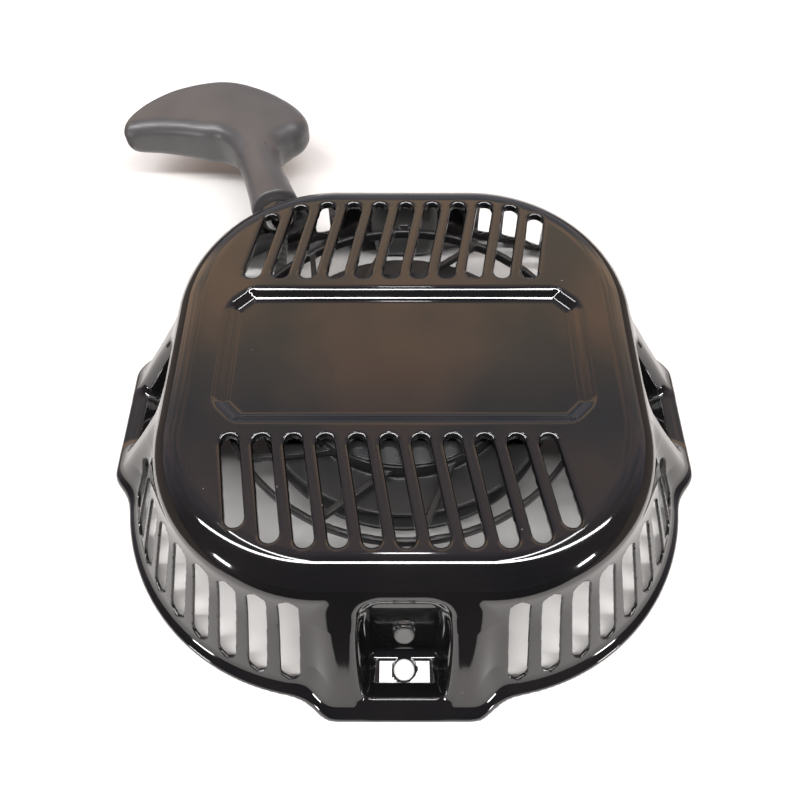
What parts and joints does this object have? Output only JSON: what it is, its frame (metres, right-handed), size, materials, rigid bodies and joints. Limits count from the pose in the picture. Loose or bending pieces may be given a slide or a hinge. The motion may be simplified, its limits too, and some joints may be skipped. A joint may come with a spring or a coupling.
{
  "type": "recoil starter",
  "caption": "Recoil starter for a small engine: a louvred black steel cover with ear pockets, a rope reel with spring and pawls inside, and a pull handle on a rope.",
  "frame": {"origin": "on the crank axis, in the mounting plane of the four ears", "axes": "+Z along the crank axis, out of the engine; -Y towards the front ear; +Y, leaning 19.3 degrees to -X, is the way that the rope is pulled"},
  "size_m": [0.2571, 0.2977, 0.056],
  "materials": {
    "cover_paint": "gloss black stoved paint",
    "post_steel": "bare turned steel",
    "spring_steel": "blued spring steel",
    "wire_steel": "bright spring wire",
    "zinc_steel": "yellow zinc plate",
    "pawl_steel": "case-hardened steel",
    "bush_bronze": "sintered bronze",
    "guide_steel": "polished steel",
    "reel_plastic": "black glass-filled nylon",
    "cover_disc": "black coated sheet",
    "rope_fibre": "charcoal braided polyester",
    "grip_plastic": "soft dark grey moulding"
  },
  "bodies": {
    "housing": {"housing_cover": "cover_paint", "centre_post": "post_steel", "rope_guide": "guide_steel", "rope_run": "rope_fibre", "thrust_washer": "post_steel", "friction_spring": "wire_steel", "bolt_washer": "zinc_steel", "centre_bolt": "zinc_steel"},
    "reel": {"rope_reel": "reel_plastic", "reel_bush": "bush_bronze", "recoil_spring": "spring_steel", "spring_cover": "cover_disc", "rope_coil": "rope_fibre", "reel_knot": "rope_fibre", "pawl_spring_1": "wire_steel", "pawl_spring_2": "wire_steel"},
    "ratchet": {"ratchet_guide": "zinc_steel"},
    "pawl_a": {"pawl_1": "pawl_steel"},
    "pawl_b": {"pawl_2": "pawl_steel"},
    "handle": {"handle_grip": "grip_plastic", "grip_reinforcement": "post_steel", "rope_in_handle": "rope_fibre", "rope_knot": "rope_fibre"}
  },
  "joints": [
    {"name": "rope_pull", "type": "slide", "parent": "housing", "child": "handle", "axis": [-0.3305, 0.9438, 0], "range_m": [0, 1.15], "stiffness_N_per_m": 15, "springref_m": -0.5},
    {"name": "reel_spin", "type": "hinge", "parent": "housing", "child": "reel", "pos_m": [0, 0, 0], "axis": [0, 0, 1], "range_deg": [-1345, 0]},
    {"name": "guide_turn", "type": "hinge", "parent": "reel", "child": "ratchet", "pos_m": [0, 0, 0], "axis": [0, 0, 1], "range_deg": [0, 30], "stiffness_Nm_per_rad": 0.02, "springref_deg": -17.19},
    {"name": "pawl_1_swing", "type": "hinge", "parent": "reel", "child": "pawl_a", "pos_m": [0.027, 0, 0], "axis": [0, 0, 1], "range_deg": [0, 28], "stiffness_Nm_per_rad": 0.01, "springref_deg": -17.19},
    {"name": "pawl_2_swing", "type": "hinge", "parent": "reel", "child": "pawl_b", "pos_m": [-0.027, 0, 0], "axis": [0, 0, 1], "range_deg": [0, 28], "stiffness_Nm_per_rad": 0.01, "springref_deg": -17.19}
  ],
  "couplings": [
    {"joint": "reel_spin", "follows": "rope_pull", "rad_per_m": -20.4},
    {"joint": "pawl_1_swing", "follows": "guide_turn", "ratio": 0.9333},
    {"joint": "pawl_2_swing", "follows": "guide_turn", "ratio": 0.9333}
  ]
}
